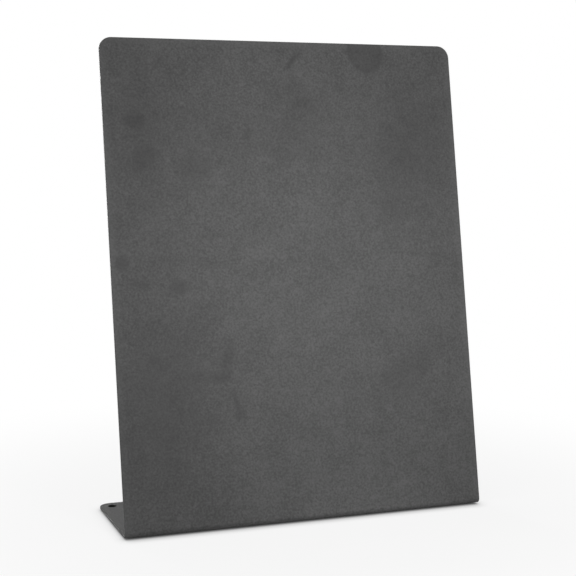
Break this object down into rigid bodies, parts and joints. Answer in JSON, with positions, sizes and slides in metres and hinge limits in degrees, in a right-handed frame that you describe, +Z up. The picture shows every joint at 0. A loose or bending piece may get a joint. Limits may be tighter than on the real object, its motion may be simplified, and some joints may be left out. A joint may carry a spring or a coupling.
{
  "type": "magnetic memo board",
  "caption": "Free-standing steel memo board: one bent sheet whose large flat panel leans back over a foot folded behind it, with corner holes and stick-on rubber pads.",
  "frame": {"origin": "on the table under the middle of the board's width and depth", "axes": "+Z up, +X to the right as one faces the panel, +Y to the rear, the way the panel leans"},
  "size_m": [0.3, 0.0972, 0.3795],
  "materials": {
    "powder_coat": "fine-textured matt dark grey powder coat on mild steel",
    "rubber": "matt black rubber with a fine cloth-marked face",
    "adhesive": "cream foam tape, adhesive on both faces"
  },
  "bodies": {
    "root": {"steel_board": "powder_coat", "front_left_pad": "rubber", "front_right_pad": "rubber", "rear_left_pad": "rubber", "rear_right_pad": "rubber", "front_left_adhesive": "adhesive", "front_right_adhesive": "adhesive", "rear_left_adhesive": "adhesive", "rear_right_adhesive": "adhesive"}
  },
  "joints": []
}
